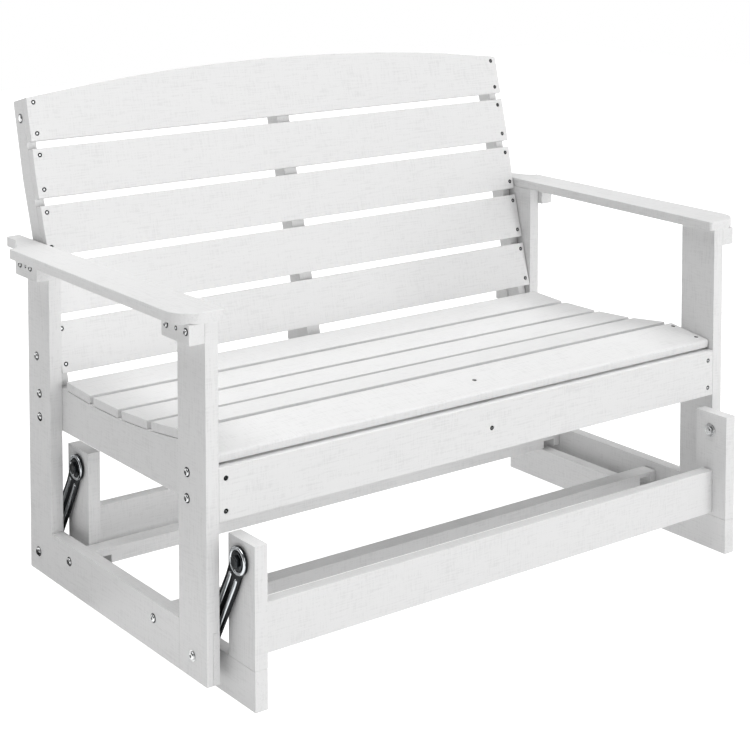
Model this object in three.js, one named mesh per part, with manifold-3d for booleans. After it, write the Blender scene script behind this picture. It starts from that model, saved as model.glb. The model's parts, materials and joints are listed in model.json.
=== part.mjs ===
// A two-seat glider bench of white plastic lumber. The base stands still on two foot rails.
// The seat, with its posts, arms and back, hangs on four metal links and swings front to back.
// Millimetres, +Z up, +X to the right and +Y to the back. The links lean back here, as they do
// when the seat is pushed back to its stop.
import * as THREE from 'three';
import { mergeVertices } from 'three/addons/utils/BufferGeometryUtils.js';
import Module from 'manifold-3d';

const wasm = await Module();
wasm.setup();

// Boards
const benchWidth = 1236; // between the outer faces of the posts
const boardThickness = 25; // posts, rails, apron and base frame
const slatThickness = 19; // seat slats, back slats, arms and outer back uprights
const fitGap = 0.3; // between pieces that are screwed together
const sideGap = 1.5; // between a slat's end and the post beside it

// Base
const footLength = 652;
const footHeight = 70;
const uprightWidth = 80;
const uprightCap = 35.3; // above the pivots
const stretcherHeight = 87;
const stretcherRise = 6; // from the top of the foot rails to the stretchers
const frontStretcherSetback = 35.5;

// Links and their bolts
const linkSpace = 19; // between the base and the seat's side frames
const linkLength = 197;
const linkThickness = 4;
const linkEyeRadius = 25;
const linkFootRadius = 21;
const linkShankWidth = 38;
const linkBendInset = 44; // from each pivot to where the link bends outward
const linkRibHeight = 1.5;
const linkRibWidth = 7;
const linkRibSpread = 9;
const linkRibInset = 32; // from each pivot to the ribs' ends
const swingBack = THREE.MathUtils.degToRad(24.6);
const pivotInset = 42; // from the front and from the back of the base
const boltRadius = 5;
const boltClearance = 0.3;
const boltHeadRadius = 15;
const boltHeadHeight = 3.5;
const boltNutHeight = 5;
const upperNutRadius = 13.5;
const lowerNutRadius = 7.5;
const washerRadius = 13;
const washerThickness = 1.9;

// Seat side frames
const seatRise = 25.9; // from the ground to the posts
const postWidth = 89;
const railHeight = 89;
const postPivotInset = 46; // from the front of the front post to its pivot
const rearPivotInset = 35; // from the back of the rear post to its pivot
const postPivotRise = 39; // from the bottom of the post to its pivot
const crossRailWidth = 35;
const crossRailHeight = 30;
const crossRailRise = 4.9; // above the foot rails
const crossRailNotchGap = 3; // over and beside the foot rails, as the seat swings by
const frontCrossRailInset = 157; // from the front of the front posts
const stopGap = 1.5; // between the rear cross rail and the base at the back stop

// Seat
const apronHeight = 92;
const apronClearance = 3.2; // over the base, as the seat swings by at its lowest
const centreThickness = 32; // centre seat rail and centre back upright
const seatRailLift = 9.5; // from the bottom of the apron to the bottom of the seat rails
const seatRailHeight = 75; // at the lowest point of the seat
const seatLowInset = 148; // from the front of the rear posts
const seatRadius = 2000;
const slatSpace = 14.5;
const slatCount = 4;
const rearSlatInset = 16; // in front of the rear posts
const noseInset = 14;
const noseRadius = 5;
const noseDrop = 14; // how far the front slat falls from its back edge to its front
const noseExtra = 12; // how much deeper the front slat is than the others
const seatRailHump = 94; // height of the seat rails behind the back
const rearSeatRailHeight = 62;

// Back
const lean = THREE.MathUtils.degToRad(14.4);
const backInset = 1.2; // in front of the rear posts, at the back's lowest corner
const backRise = 111; // from the bottom of the seat rails
const backSlatWidth = 96.5;
const backSlatSpace = 14.5;
const backSlatCount = 5;
const topSlatEnd = 85.6; // height of the top slat at its ends
const topSlatArch = 39;
const uprightDepth = 38;
const uprightFootRise = 60; // from the bottom of the seat rails
const centreUprightExtra = 24;
const hangHoleRadius = 6;
const hangHoleDrop = 35;

// Arms
const armRise = 330; // from the bottom of the seat rails
const armFrontLip = 4; // past the posts, here and in the next four
const armRearLip = 81;
const armInnerLip = 15;
const armOuterLip = 50;
const armTipLip = 6;
const armBackGap = 1; // from the posts' inner faces to the arm beside the back
const armTaperInset = 37; // from the back of the posts
const armStepInset = 27;
const armStepReach = 41;
const armCornerRadius = 50;
const armSmallRadius = 7;
const cleatThickness = 30;
const cleatHeight = 34;
const rearCleatShift = 11; // from the rear posts towards the front

const arcSteps = 24;
const boltSides = 24;

// Places worked out from the sizes above
const postOuterX = benchWidth / 2;
const postInnerX = postOuterX - boardThickness;
const baseOuterX = postInnerX - linkSpace;
const baseInnerX = baseOuterX - boardThickness;
const linkUpperX = baseOuterX + washerThickness + 2 * fitGap; // inner face of a link's upper eye
const linkLowerX = postInnerX - washerThickness - 2 * fitGap - linkThickness;
const uprightPitch = footLength - uprightWidth;
const pivotSpacing = footLength - 2 * pivotInset;
const lowerPivotShift = linkLength * Math.sin(swingBack);
const lowerPivotHeight = seatRise + postPivotRise;
const pivotHeight = lowerPivotHeight + linkLength * Math.cos(swingBack);
const uprightTop = pivotHeight + uprightCap;
const seatSink = linkLength * (1 - Math.cos(swingBack)); // as the links swing upright
const seatFront = pivotInset + lowerPivotShift - postPivotInset;
const seatDepth = postPivotInset + pivotSpacing + rearPivotInset;
const rearPostFront = seatFront + seatDepth - postWidth;
const slatHalfLength = postInnerX - sideGap;
const apronBack = seatFront + boardThickness;
const apronBottom = uprightTop + seatSink + apronClearance;
const seatRailBottom = apronBottom + seatRailLift;
const postTop = seatRailBottom + armRise;
const ends = [['front', 0], ['rear', 1]];
const sides = [['left', -1], ['right', 1]];

// Finishes
const lumber = new THREE.MeshStandardMaterial({ color: 0xf1f1ef, roughness: 0.55, metalness: 0 });
const darkChrome = new THREE.MeshStandardMaterial({ color: 0x2f3234, roughness: 0.22, metalness: 1 });
const steel = new THREE.MeshStandardMaterial({ color: 0xa9adb0, roughness: 0.35, metalness: 1 });

const axisX = new THREE.Vector3(1, 0, 0);
const axisY = new THREE.Vector3(0, 1, 0);
const axisZ = new THREE.Vector3(0, 0, 1);
// An outline drawn in Y and Z grows along +X, one drawn in X and Z grows along -Y.
const growAlongX = new THREE.Matrix4().makeBasis(axisY, axisZ, axisX);
const growAlongY = new THREE.Matrix4().makeBasis(axisX, axisZ, axisY.clone().negate());

const bench = new THREE.Group();

function add(name, geometry, material, parent = bench) {
  const mesh = new THREE.Mesh(geometry, material);
  mesh.name = name;
  parent.add(mesh);
  return mesh;
}

function outline(points) {
  return new THREE.Shape(points.map(([a, b]) => new THREE.Vector2(a, b)));
}

function roundHole(shape, a, b, radius) {
  shape.holes.push(new THREE.Path().absarc(a, b, radius, 0, 2 * Math.PI, true));
}

function extrude(shape, depth) {
  return new THREE.ExtrudeGeometry(shape, { depth, bevelEnabled: false, curveSegments: arcSteps });
}

// A side profile between two distances from the middle of the bench, on one side of it.
function sideProfile(shape, side, innerX, outerX) {
  const start = side > 0 ? innerX : -outerX;
  return extrude(shape, outerX - innerX).applyMatrix4(growAlongX).translate(start, 0, 0);
}

function box(x0, x1, y0, y1, z0, z1) {
  const block = new THREE.BoxGeometry(x1 - x0, y1 - y0, z1 - z0);
  return block.translate((x0 + x1) / 2, (y0 + y1) / 2, (z0 + z1) / 2);
}

function sideBox(side, innerX, outerX, y0, y1, z0, z1) {
  const [x0, x1] = side > 0 ? [innerX, outerX] : [-outerX, -innerX];
  return box(x0, x1, y0, y1, z0, z1);
}

function solid(geometry) {
  const bare = geometry.clone();
  bare.deleteAttribute('normal');
  bare.deleteAttribute('uv');
  const merged = mergeVertices(bare);
  const vertProperties = merged.attributes.position.array;
  const triVerts = new Uint32Array(merged.index.array);
  return new wasm.Manifold(new wasm.Mesh({ numProp: 3, vertProperties, triVerts }));
}

function surface(manifold) {
  const mesh = manifold.getMesh();
  const geometry = new THREE.BufferGeometry();
  geometry.setAttribute('position', new THREE.BufferAttribute(mesh.vertProperties, 3));
  geometry.setIndex(new THREE.BufferAttribute(mesh.triVerts, 1));
  return geometry;
}

function crossBore(side, innerX, outerX, y, z) {
  const length = 2 * (outerX - innerX);
  const bore = new THREE.CylinderGeometry(
    boltRadius + boltClearance, boltRadius + boltClearance, length, boltSides);
  return bore.rotateZ(Math.PI / 2).translate(side * (innerX + outerX) / 2, y, z);
}

// Base: two foot rails on edge, four uprights that stand on them, and two stretchers
function footRail(word, side) {
  const shape = sideBox(side, baseInnerX, baseOuterX, 0, footLength, 0, footHeight);
  add(`${word}_foot_rail`, shape, lumber);
}

function baseUpright(word, side, end, place) {
  const start = place * uprightPitch;
  const bottom = footHeight + fitGap;
  const face = outline([
    [start, bottom], [start + uprightWidth, bottom],
    [start + uprightWidth, uprightTop], [start, uprightTop],
  ]);
  const pivot = pivotInset + place * pivotSpacing;
  roundHole(face, pivot, pivotHeight, boltRadius + boltClearance);
  add(`${word}_${end}_upright`, sideProfile(face, side, baseInnerX, baseOuterX), lumber);
}

function stretcher(end, start) {
  const reach = baseInnerX - fitGap;
  const bottom = footHeight + stretcherRise;
  const shape = box(-reach, reach, start, start + boardThickness, bottom, bottom + stretcherHeight);
  add(`${end}_stretcher`, shape, lumber);
}

// Links: metal straps with a round eye at each end and two raised ribs. Each is bent so that its
// upper eye lies by the base and its lower eye by the seat's side frame.
function linkFace() {
  const lower = -linkLength;
  const quarter = Math.PI / 2;
  const eyeNeck = Math.asin(linkShankWidth / (2 * linkEyeRadius));
  const footNeck = Math.asin(linkShankWidth / (2 * linkFootRadius));
  const face = new THREE.Shape();
  face.absarc(0, 0, linkEyeRadius, eyeNeck - quarter, 3 * quarter - eyeNeck, false);
  face.absarc(0, lower, linkFootRadius, quarter + footNeck, 5 * quarter - footNeck, false);
  roundHole(face, 0, 0, boltRadius + boltClearance);
  roundHole(face, 0, lower, boltRadius + boltClearance);
  return face;
}

// A strap seen from in front, bent between its two eyes, and grown front to back by its width
function bentStrap(side, thickness, top, bottom, middle, width) {
  const bendTop = -linkBendInset;
  const bendBottom = linkBendInset - linkLength;
  const inner = [[linkUpperX, top], [linkUpperX, bendTop], [linkLowerX, bendBottom], [linkLowerX, bottom]];
  const outer = inner.map(([x, z]) => [x + thickness, z]).reverse();
  const strap = outline([...inner, ...outer].map(([x, z]) => [side * x, z]));
  return extrude(strap, width).applyMatrix4(growAlongY).translate(0, middle + width / 2, 0);
}

function link(word, side, end, place) {
  const reach = 2 * linkEyeRadius;
  const blank = sideProfile(linkFace(), side, baseOuterX, postInnerX);
  const strap = bentStrap(side, linkThickness, reach, -linkLength - reach, 0, reach);
  let body = solid(blank).intersect(solid(strap));
  const thick = linkThickness + linkRibHeight;
  for (const middle of [-linkRibSpread, linkRibSpread]) {
    const bar = bentStrap(side, thick, -linkRibInset, linkRibInset - linkLength, middle, linkRibWidth);
    body = body.add(solid(bar));
  }
  const mesh = add(`${word}_${end}_link`, surface(body), darkChrome);
  mesh.rotation.x = swingBack;
  mesh.position.set(0, pivotInset + place * pivotSpacing, pivotHeight);
}

// A bolt and its nut as one turned piece. It is drawn from the head at zero to the nut.
function pivotBolt(name, nutRadius, grip, y, z, headX, direction) {
  const gripEnd = boltHeadHeight + grip;
  const nutTop = gripEnd + boltNutHeight;
  const profile = [
    [0, 0], [boltHeadRadius - boltHeadHeight / 2, 0], [boltHeadRadius, boltHeadHeight / 2],
    [boltHeadRadius, boltHeadHeight], [boltRadius, boltHeadHeight],
    [boltRadius, gripEnd], [nutRadius, gripEnd],
    [nutRadius, nutTop - boltNutHeight / 2], [nutRadius - boltNutHeight / 2, nutTop], [0, nutTop],
  ];
  const points = profile.map(([radius, along]) => new THREE.Vector2(radius, along));
  const turned = new THREE.LatheGeometry(points, boltSides);
  turned.rotateZ(direction > 0 ? -Math.PI / 2 : Math.PI / 2);
  turned.translate(headX, y, z);
  add(name, turned, steel);
}

function washer(name, side, innerX, y, z) {
  const ring = new THREE.Shape().absarc(y, z, washerRadius, 0, 2 * Math.PI, false);
  roundHole(ring, y, z, boltRadius + boltClearance);
  add(name, sideProfile(ring, side, innerX, innerX + washerThickness), steel);
}

// The upper bolts have their heads outside the links, and the lower bolts inside them.
function pivots(word, side, end, place) {
  const upperY = pivotInset + place * pivotSpacing;
  const lowerY = upperY + lowerPivotShift;
  const upperHead = linkUpperX + linkThickness + fitGap + boltHeadHeight;
  const lowerHead = linkLowerX - fitGap - boltHeadHeight;
  const upperGrip = upperHead - boltHeadHeight - baseInnerX + fitGap;
  const lowerGrip = postOuterX + fitGap - lowerHead - boltHeadHeight;
  const at = `${word}_${end}`;
  const upperX = side * upperHead;
  const lowerX = side * lowerHead;
  pivotBolt(`${at}_upper_bolt`, upperNutRadius, upperGrip, upperY, pivotHeight, upperX, -side);
  pivotBolt(`${at}_lower_bolt`, lowerNutRadius, lowerGrip, lowerY, lowerPivotHeight, lowerX, side);
  washer(`${at}_upper_washer`, side, baseOuterX + fitGap, upperY, pivotHeight);
  const lowerWasherX = linkLowerX + linkThickness + fitGap;
  washer(`${at}_lower_washer`, side, lowerWasherX, lowerY, lowerPivotHeight);
}

// Seat side frames: the posts and the bottom rail are halved into each other
function post(word, side, end, place) {
  const front = place ? rearPostFront : seatFront;
  const lapX = postInnerX + boardThickness / 2 + fitGap;
  const lapTop = seatRise + railHeight + fitGap;
  const pivotY = pivotInset + lowerPivotShift + place * pivotSpacing;
  const section = outline([
    [side * lapX, seatRise], [side * postOuterX, seatRise], [side * postOuterX, postTop],
    [side * postInnerX, postTop], [side * postInnerX, lapTop], [side * lapX, lapTop],
  ]);
  const upright = extrude(section, postWidth).applyMatrix4(growAlongY).translate(0, front + postWidth, 0);
  const bore = crossBore(side, postInnerX, postOuterX, pivotY, lowerPivotHeight);
  add(`${word}_${end}_post`, surface(solid(upright).subtract(solid(bore))), lumber);
}

function bottomRail(word, side) {
  const back = seatFront + seatDepth;
  const lapX = postInnerX + boardThickness / 2;
  const lapStart = seatFront + postWidth + fitGap;
  const lapEnd = rearPostFront - fitGap;
  const plan = outline([
    [side * postInnerX, seatFront], [side * lapX, seatFront], [side * lapX, lapStart],
    [side * postOuterX, lapStart], [side * postOuterX, lapEnd], [side * lapX, lapEnd],
    [side * lapX, back], [side * postInnerX, back],
  ]);
  let rail = solid(extrude(plan, railHeight).translate(0, 0, seatRise));
  for (const place of [0, 1]) {
    const pivotY = pivotInset + lowerPivotShift + place * pivotSpacing;
    rail = rail.subtract(solid(crossBore(side, postInnerX, postOuterX, pivotY, lowerPivotHeight)));
  }
  add(`${word}_bottom_rail`, surface(rail), lumber);
}

// The cross rails are notched below, because the seat sinks as the links swing upright.
function crossRail(end, front) {
  const reach = postInnerX - fitGap;
  const bottom = footHeight + crossRailRise;
  const top = bottom + crossRailHeight;
  const notchTop = footHeight + seatSink + crossRailNotchGap;
  const notchInner = baseInnerX - crossRailNotchGap;
  const notchOuter = baseOuterX + crossRailNotchGap;
  const half = [
    [notchInner, bottom], [notchInner, notchTop], [notchOuter, notchTop],
    [notchOuter, bottom], [reach, bottom], [reach, top],
  ];
  const mirrored = half.map(([x, z]) => [-x, z]).reverse();
  const rail = extrude(outline([...half, ...mirrored]), crossRailWidth);
  rail.applyMatrix4(growAlongY).translate(0, front + crossRailWidth, 0);
  add(`${end}_cross_rail`, rail, lumber);
}

// Seat: three rails with a hollow top carry five slats, between an apron and a rear rail
function seatCurve(y) {
  const offset = y - (rearPostFront - seatLowInset);
  return seatRailBottom + seatRailHeight + offset * offset / (2 * seatRadius);
}

const rearSeatRailFront = seatFront + seatDepth - boardThickness;
const rearSlatBack = rearPostFront - rearSlatInset;
const noseFront = seatFront + noseInset;
const slatDepths = rearSlatBack - noseFront - slatCount * slatSpace - noseExtra;
const slatWidth = slatDepths / (slatCount + 1);
const slatPitch = slatWidth + slatSpace;
const noseBack = rearSlatBack - slatCount * slatPitch;
const noseBackHeight = seatCurve(noseBack);
const nosePitch = Math.atan(noseDrop / (noseBack - noseFront));
const noseFrontHeight = noseBackHeight - noseDrop;

// A point of the back, by its distance behind the back's front face and its height up the slope
function backPoint(behind, up) {
  return [
    rearPostFront - backInset + behind * Math.cos(lean) + up * Math.sin(lean),
    seatRailBottom + backRise - behind * Math.sin(lean) + up * Math.cos(lean),
  ];
}

function upAtHeight(behind, height) {
  return (height - seatRailBottom - backRise + behind * Math.sin(lean)) / Math.cos(lean);
}

function seatRailOutline() {
  const bottom = seatRailBottom;
  const hump = bottom + seatRailHump;
  const foot = bottom + uprightFootRise - fitGap;
  const railFront = apronBack + fitGap;
  const railBack = rearSeatRailFront - fitGap;
  const humpBack = seatFront + seatDepth;
  const shelf = seatCurve(rearSlatBack);
  const ledge = bottom + rearSeatRailHeight + fitGap;
  const curve = [];
  for (let step = 0; step <= arcSteps; step += 1) {
    const y = noseBack + (rearSlatBack - noseBack) * step / arcSteps;
    curve.push([y, seatCurve(y)]);
  }
  const notchFront = slatThickness;
  const notchBack = slatThickness + uprightDepth + 2 * fitGap;
  const frontHeight = noseBackHeight - (noseBack - railFront) * Math.tan(nosePitch);
  return outline([
    [railFront, bottom], [railBack, bottom], [railBack, ledge], [humpBack, ledge], [humpBack, hump],
    backPoint(notchBack, upAtHeight(notchBack, hump)),
    backPoint(notchBack, upAtHeight(notchBack, foot)),
    backPoint(notchFront, upAtHeight(notchFront, foot)),
    backPoint(notchFront, upAtHeight(notchFront, shelf)),
    ...curve.reverse(), [railFront, frontHeight],
  ]);
}

function seatRails() {
  const profile = seatRailOutline();
  for (const [word, side] of sides) {
    const rail = sideProfile(profile, side, postInnerX - boardThickness, postInnerX - fitGap);
    add(`${word}_seat_rail`, rail, lumber);
  }
  const centre = extrude(profile, centreThickness).applyMatrix4(growAlongX);
  add('centre_seat_rail', centre.translate(-centreThickness / 2, 0, 0), lumber);
  const reach = postInnerX - fitGap;
  const bottom = seatRailBottom;
  const top = bottom + rearSeatRailHeight;
  const back = rearSeatRailFront + boardThickness;
  add('rear_seat_rail', box(-reach, reach, rearSeatRailFront, back, bottom, top), lumber);
}

function seatSlats() {
  const sag = slatWidth * slatWidth / (8 * seatRadius);
  for (let index = 0; index < slatCount; index += 1) {
    const middle = rearSlatBack - slatWidth / 2 - index * slatPitch;
    const pitch = Math.atan((middle - rearPostFront + seatLowInset) / seatRadius);
    const slat = new THREE.BoxGeometry(2 * slatHalfLength, slatWidth, slatThickness);
    slat.translate(0, 0, slatThickness / 2 + sag + fitGap);
    const mesh = add(`seat_slat_${index + 1}`, slat, lumber);
    mesh.rotation.x = pitch;
    mesh.position.set(0, middle, seatCurve(middle));
  }
}

function noseSlat() {
  const width = (noseBack - noseFront) / Math.cos(nosePitch);
  const side = new THREE.Shape();
  side.moveTo(0, 0);
  side.lineTo(width, 0);
  side.lineTo(width, slatThickness);
  side.lineTo(noseRadius, slatThickness);
  side.absarc(noseRadius, slatThickness - noseRadius, noseRadius, Math.PI / 2, Math.PI, false);
  const slat = extrude(side, 2 * slatHalfLength).applyMatrix4(growAlongX);
  slat.translate(-slatHalfLength, 0, fitGap);
  const mesh = add(`seat_slat_${slatCount + 1}`, slat, lumber);
  mesh.rotation.x = nosePitch;
  mesh.position.set(0, noseFront, noseFrontHeight);
}

function apron() {
  const reach = postInnerX - fitGap;
  const top = Math.min(apronBottom + apronHeight, noseFrontHeight - fitGap);
  add('seat_apron', box(-reach, reach, seatFront, apronBack, apronBottom, top), lumber);
}

// Back: three leaning uprights stand in the seat rails and carry five slats
const backSlatPitch = backSlatWidth + backSlatSpace;
const topSlatBottom = (backSlatCount - 1) * backSlatPitch;
const uprightTopUp = topSlatBottom + topSlatEnd;

function backSlats(back) {
  for (let index = 0; index < backSlatCount - 1; index += 1) {
    const low = index * backSlatPitch;
    const slat = box(-slatHalfLength, slatHalfLength, 0, slatThickness, low, low + backSlatWidth);
    add(`back_slat_${backSlatCount - index}`, slat, lumber, back);
  }
  const archRadius = (slatHalfLength ** 2 + topSlatArch ** 2) / (2 * topSlatArch);
  const half = Math.asin(slatHalfLength / archRadius);
  const face = new THREE.Shape();
  face.moveTo(-slatHalfLength, topSlatBottom);
  face.lineTo(slatHalfLength, topSlatBottom);
  const centreUp = topSlatBottom + topSlatEnd + topSlatArch - archRadius;
  face.absarc(0, centreUp, archRadius, Math.PI / 2 - half, Math.PI / 2 + half, false);
  const top = extrude(face, slatThickness).applyMatrix4(growAlongY).translate(0, slatThickness, 0);
  add('back_slat_1', top, lumber, back);
}

function backUprightOutline(topUp) {
  const front = slatThickness + fitGap;
  const rear = front + uprightDepth;
  const foot = seatRailBottom + uprightFootRise;
  return outline([
    [front, upAtHeight(front, foot)], [rear, upAtHeight(rear, foot)], [rear, topUp], [front, topUp],
  ]);
}

function backUprights(back) {
  const outerX = slatHalfLength;
  for (const [word, side] of sides) {
    const profile = backUprightOutline(uprightTopUp);
    const middle = slatThickness + fitGap + uprightDepth / 2;
    roundHole(profile, middle, uprightTopUp - hangHoleDrop, hangHoleRadius);
    add(`${word}_back_upright`, sideProfile(profile, side, outerX - slatThickness, outerX), lumber, back);
  }
  const centre = extrude(backUprightOutline(uprightTopUp + centreUprightExtra), centreThickness);
  centre.applyMatrix4(growAlongX).translate(-centreThickness / 2, 0, 0);
  add('centre_back_upright', centre, lumber, back);
}

function leaningBack() {
  const back = new THREE.Group();
  const [y, z] = backPoint(0, 0);
  back.position.set(0, y, z);
  back.rotation.x = -lean;
  bench.add(back);
  backSlats(back);
  backUprights(back);
}

// Arms: flat boards on the posts, narrower behind, with a cleat under them outside each post
function armPlan(side) {
  const front = seatFront - armFrontLip;
  const postBack = seatFront + seatDepth;
  const rear = postBack + armRearLip;
  const innerX = postInnerX - armInnerLip;
  const outerX = postOuterX + armOuterLip;
  const tipX = postOuterX + armTipLip;
  const backX = postInnerX + armBackGap;
  const corner = armCornerRadius;
  const small = armSmallRadius;
  const plan = new THREE.Shape();
  plan.moveTo(innerX + small, front);
  plan.lineTo(outerX - corner, front);
  plan.absarc(outerX - corner, front + corner, corner, -Math.PI / 2, 0, false);
  const stepStart = postBack - armStepInset;
  const stepEnd = postBack + armStepReach;
  const bendX = (outerX + tipX) / 2;
  plan.lineTo(outerX, stepStart);
  plan.quadraticCurveTo(bendX, stepStart, bendX - small, (stepStart + stepEnd) / 2);
  plan.quadraticCurveTo(tipX, stepEnd - small, tipX, stepEnd);
  plan.lineTo(tipX, rear - small);
  plan.absarc(tipX - small, rear - small, small, 0, Math.PI / 2, false);
  plan.lineTo(backX + small, rear);
  plan.absarc(backX + small, rear - small, small, Math.PI / 2, Math.PI, false);
  plan.lineTo(backX, postBack - armTaperInset);
  plan.lineTo(innerX, front + small);
  plan.absarc(innerX + small, front + small, small, Math.PI, 1.5 * Math.PI, false);
  const points = plan.getPoints(arcSteps / 3);
  return new THREE.Shape(points.map((point) => new THREE.Vector2(side * point.x, point.y)));
}

function arm(word, side) {
  const board = extrude(armPlan(side), slatThickness);
  add(`${word}_armrest`, board.translate(0, 0, postTop + fitGap), lumber);
}

function armCleat(word, side, end, place) {
  const front = place ? rearPostFront - rearCleatShift : seatFront;
  const inner = postOuterX + fitGap;
  const low = postTop - cleatHeight;
  const block = sideBox(side, inner, inner + cleatThickness, front, front + postWidth, low, postTop);
  add(`${word}_${end}_arm_cleat`, block, lumber);
}

for (const [word, side] of sides) {
  footRail(word, side);
  bottomRail(word, side);
  arm(word, side);
  for (const [end, place] of ends) {
    baseUpright(word, side, end, place);
    link(word, side, end, place);
    pivots(word, side, end, place);
    post(word, side, end, place);
    armCleat(word, side, end, place);
  }
}
stretcher('front', frontStretcherSetback);
stretcher('rear', footLength - (uprightWidth + boardThickness) / 2);
crossRail('front', seatFront + frontCrossRailInset);
crossRail('rear', uprightPitch - stopGap - crossRailWidth);
seatRails();
seatSlats();
noseSlat();
apron();
leaningBack();

// The origin is on the ground under the middle of the whole bench.
const whole = new THREE.Box3().setFromObject(bench);
bench.position.y = -(whole.min.y + whole.max.y) / 2;
const glider = new THREE.Group();
glider.add(bench);

export default glider;
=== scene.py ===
import json
import math

import bmesh
import bpy
from mathutils import Matrix, Vector


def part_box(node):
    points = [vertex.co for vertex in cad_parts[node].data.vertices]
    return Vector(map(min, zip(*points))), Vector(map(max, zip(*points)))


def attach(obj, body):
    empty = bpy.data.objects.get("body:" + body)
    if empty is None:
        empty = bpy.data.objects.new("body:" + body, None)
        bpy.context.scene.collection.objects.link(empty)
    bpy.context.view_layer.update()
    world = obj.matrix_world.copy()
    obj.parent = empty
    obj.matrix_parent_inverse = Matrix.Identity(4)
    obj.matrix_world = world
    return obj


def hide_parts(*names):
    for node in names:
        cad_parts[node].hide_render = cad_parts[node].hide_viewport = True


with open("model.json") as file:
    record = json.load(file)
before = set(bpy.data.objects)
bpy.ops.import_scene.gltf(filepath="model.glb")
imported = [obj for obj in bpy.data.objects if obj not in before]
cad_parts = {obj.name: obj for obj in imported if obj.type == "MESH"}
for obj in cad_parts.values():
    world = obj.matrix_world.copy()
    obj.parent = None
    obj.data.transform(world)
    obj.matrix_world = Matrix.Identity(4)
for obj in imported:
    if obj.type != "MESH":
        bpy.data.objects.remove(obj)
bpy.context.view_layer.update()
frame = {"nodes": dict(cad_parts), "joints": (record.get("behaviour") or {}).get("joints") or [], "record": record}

nodes = frame["nodes"]
mm = 0.001
sides = (("left", -1), ("right", 1))
ends = ("front", "rear")
print("frame loaded:", len(nodes), "nodes")


def srgb(hexColour):  # sRGB hex to linear RGBA
    parts = [int(hexColour[i:i + 2], 16) / 255 for i in (1, 3, 5)]
    linear = [c / 12.92 if c <= 0.04045 else ((c + 0.055) / 1.055) ** 2.4 for c in parts]
    return (*linear, 1.0)


def addNode(tree, kind, settings=None, **inputs):
    # one node with its settings, and its links or values; i0, i1 ... are sockets by number
    node = tree.nodes.new(kind)
    for key, value in (settings or {}).items():
        setattr(node, key, value)
    for key, value in inputs.items():
        numbered = key[0] == "i" and key[1:].isdigit()
        socket = node.inputs[int(key[1:])] if numbered else node.inputs[key.replace("_", " ")]
        if isinstance(value, bpy.types.NodeSocket):
            tree.links.new(value, socket)
        else:
            socket.default_value = value
    return node


def newMaterial(name, **constants):
    material = bpy.data.materials.new(name)
    material.use_nodes = True
    shader = material.node_tree.nodes["Principled BSDF"]
    for key, value in constants.items():
        shader.inputs[key.replace("_", " ")].default_value = value
    return material, material.node_tree, shader


def ramp(tree, source, stops):
    node = addNode(tree, "ShaderNodeValToRGB", Fac=source)
    marks = node.color_ramp.elements
    marks.remove(marks[0])
    marks[0].position, marks[0].color = stops[0]
    for place, colour in stops[1:]:
        marks.new(place).color = colour
    return node.outputs["Color"]


def noise(tree, place, scale, detail):
    # scale is one number, or three for a pattern that is drawn out along an axis
    if not isinstance(scale, (int, float)):
        place = addNode(tree, "ShaderNodeMapping", Vector=place, Scale=scale).outputs[0]
        scale = 1.0
    texture = addNode(tree, "ShaderNodeTexNoise", Vector=place, Scale=scale, Detail=detail)
    return texture.outputs["Fac"]


def math2(tree, operation, a, b, c=0.0):
    return addNode(tree, "ShaderNodeMath", {"operation": operation}, i0=a, i1=b, i2=c).outputs[0]


lumberLook = {
    "streakMm": 2.6,  # the real brush marks are 0.3 mm wide, too fine to show
    "streakLengthMm": 40.0,
    "chatterMm": 3.0,  # faint marks across the board, from the rollers
    "chatterLengthMm": 24.0,
    "mottleMm": 70.0,  # soft clouds in the extruded plastic
    "streakDetail": 3.0,
    "chatterDetail": 2.0,
    "mottleDetail": 2.0,
    "chatterShare": 0.75,  # beside streaks of strength 1
    "mottleShare": 0.25,
    "light": "#DEDEDE",
    "dark": "#D5D5D5",
    "toneSpan": (0.75, 1.2),  # sum of the patterns at which the board is dark and light
    "grainSpan": (0.6, 1.15),  # streaks and chatter from smoothest to roughest
    "refraction": 1.54,
    "specular": 0.35,
    "roughness": 0.5,
    "smootherBy": 0.07,
    "rougherBy": 0.09,
    "bumpMm": 0.16,
    "bumpStrength": 0.5,
}


def polyLumber(name, along):
    # Extruded polyethylene lumber with a brushed face: semi-matt white, fine streaks along it
    look = lumberLook
    darkAt, lightAt = look["toneSpan"]
    smoothAt, roughAt = look["grainSpan"]
    material, tree, shader = newMaterial(name, IOR=look["refraction"],
                                         Specular_IOR_Level=look["specular"])
    place = addNode(tree, "ShaderNodeTexCoord").outputs["Object"]
    streakScale = [1000 / look["streakLengthMm" if axis == along else "streakMm"] for axis in "xyz"]
    chatterScale = [1000 / look["chatterMm" if axis == along else "chatterLengthMm"]
                    for axis in "xyz"]
    streaks = noise(tree, place, streakScale, look["streakDetail"])
    chatter = noise(tree, place, chatterScale, look["chatterDetail"])
    mottle = noise(tree, place, 1000 / look["mottleMm"], look["mottleDetail"])
    grain = math2(tree, "MULTIPLY_ADD", chatter, look["chatterShare"], streaks)
    tone = math2(tree, "MULTIPLY_ADD", mottle, look["mottleShare"], grain)
    colour = ramp(tree, tone, [(darkAt, srgb(look["dark"])), (lightAt, srgb(look["light"]))])
    tree.links.new(colour, shader.inputs["Base Color"])
    rough = addNode(tree, "ShaderNodeMapRange", Value=grain, i1=smoothAt, i2=roughAt,
                    i3=look["roughness"] - look["smootherBy"],
                    i4=look["roughness"] + look["rougherBy"]).outputs[0]
    tree.links.new(rough, shader.inputs["Roughness"])
    bump = addNode(tree, "ShaderNodeBump", Height=grain, Strength=look["bumpStrength"],
                   Distance=look["bumpMm"] * mm)
    tree.links.new(bump.outputs[0], shader.inputs["Normal"])
    return material


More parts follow.
